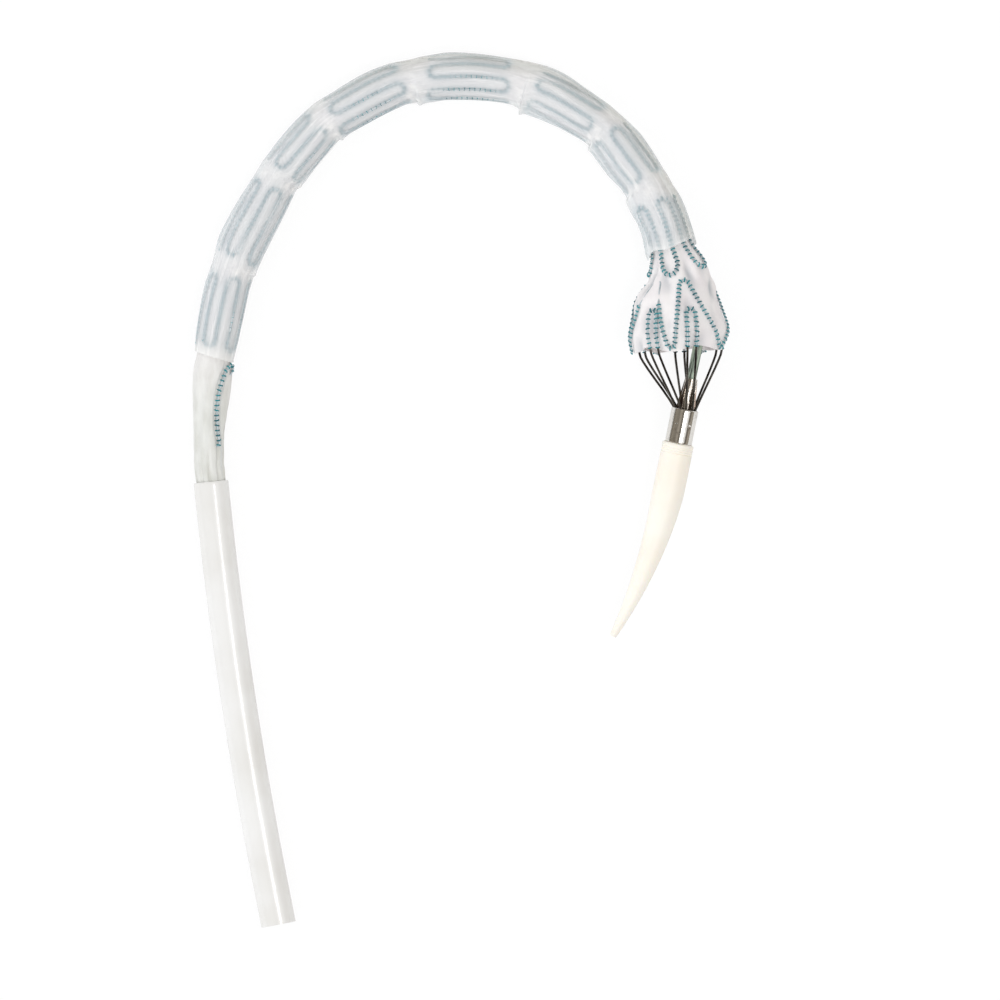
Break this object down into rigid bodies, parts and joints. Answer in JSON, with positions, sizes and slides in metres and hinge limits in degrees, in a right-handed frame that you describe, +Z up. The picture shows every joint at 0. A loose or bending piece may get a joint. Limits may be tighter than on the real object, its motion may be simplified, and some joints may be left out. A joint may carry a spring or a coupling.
{
  "type": "thoracic stent graft",
  "caption": "Flared woven tube graft with zigzag wire rings and a bare front spring, held in a clear sleeve on its catheter, between a nose cone and the outer sheath.",
  "frame": {"origin": "middle of the whole part's box, at the level of the table it lies on", "axes": "+Z up from the table; +Y along the longest extent, from the cut sheath towards the top of the arch; +X from the sheath towards the flare"},
  "size_m": [0.1238, 0.1998, 0.0243],
  "materials": {
    "woven_polyester": "fine plain weave, matt",
    "clear_film": "thin translucent film, soft sheen",
    "wire_metal": "dark oxidised wire",
    "polished_steel": "polished",
    "hub_steel": "machined",
    "shaft_plastic": "satin",
    "pusher_plastic": "satin",
    "sheath_plastic": "smooth, slightly translucent",
    "nose_plastic": "soft satin"
  },
  "bodies": {
    "catheter": {"graft_fabric": "woven_polyester", "bare_spring": "wire_metal", "film_sleeve": "clear_film", "inner_shaft": "shaft_plastic", "pusher_tube": "pusher_plastic", "capture_hub": "hub_steel", "stent_row_01": "wire_metal", "stent_row_02": "wire_metal", "stent_row_03": "wire_metal", "stent_row_04": "wire_metal", "stent_row_05": "wire_metal", "stent_row_06": "wire_metal", "stent_row_07": "wire_metal", "stent_row_08": "wire_metal", "stent_row_09": "wire_metal", "stent_row_10": "wire_metal", "stent_row_11": "wire_metal"},
    "tip": {"nose_cone": "nose_plastic", "tip_capsule": "polished_steel", "guidewire_tube": "wire_metal"},
    "sheath": {"outer_sheath": "sheath_plastic"}
  },
  "joints": [
    {"name": "tip_release", "type": "slide", "parent": "catheter", "child": "tip", "axis": [-0.1973, -0.9784, -0.061], "range_m": [0, 0.01]},
    {"name": "sheath_retraction", "type": "hinge", "parent": "catheter", "child": "sheath", "pos_m": [0.91763, 0.1, 0.004], "axis": [0, 0, 1], "range_deg": [0, 1.05]}
  ]
}
